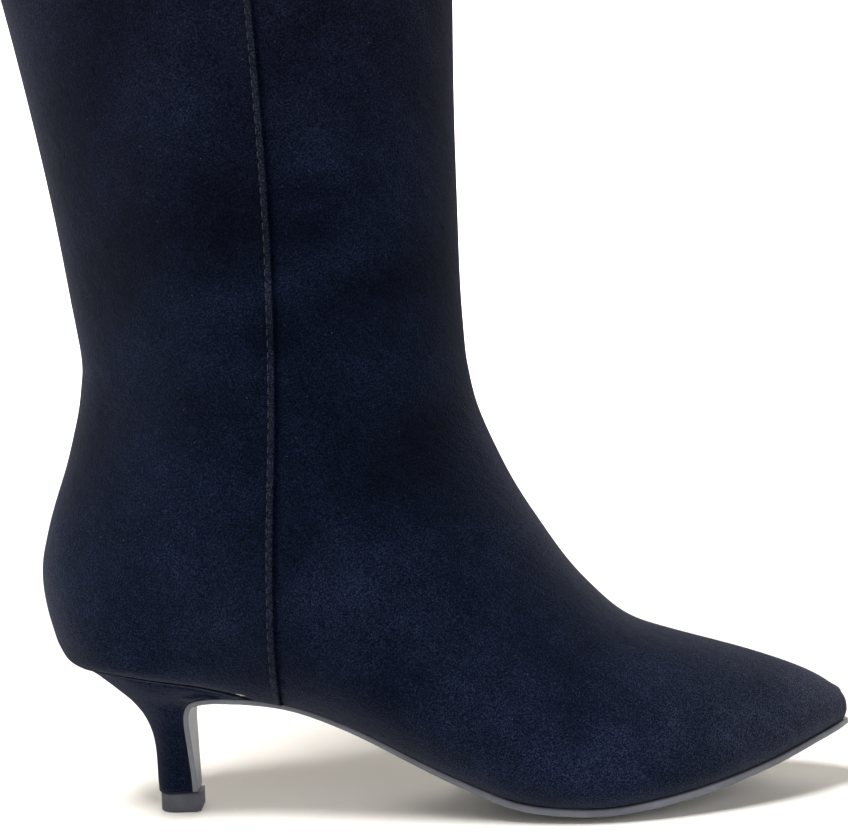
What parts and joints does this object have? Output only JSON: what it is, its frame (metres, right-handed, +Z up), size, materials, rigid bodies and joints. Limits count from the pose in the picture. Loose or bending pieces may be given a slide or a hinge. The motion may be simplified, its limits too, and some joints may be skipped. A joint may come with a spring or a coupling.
{
  "type": "suede boot",
  "caption": "Right suede boot with a pointed toe, a low curved heel and a plain pull-on shaft, open at the collar, with a thin sole bent down the front of the heel.",
  "frame": {"origin": "on the floor, under the middle of the boot's bounding box", "axes": "+X to the toe, +Y to the inner (medial) side, +Z up along the shaft"},
  "size_m": [0.286, 0.088, 0.33],
  "materials": {
    "suede": "fine napped suede, very dark navy, matt",
    "sole_rubber": "thin resin rubber sole, smooth with a slight gloss, dark grey",
    "top_piece": "hard moulded rubber, matt, dark grey",
    "insole": "smooth black leather sock on a board"
  },
  "bodies": {
    "root": {"upper": "suede", "outsole": "sole_rubber", "heel": "suede", "top_piece": "top_piece", "insole": "insole"}
  },
  "joints": []
}
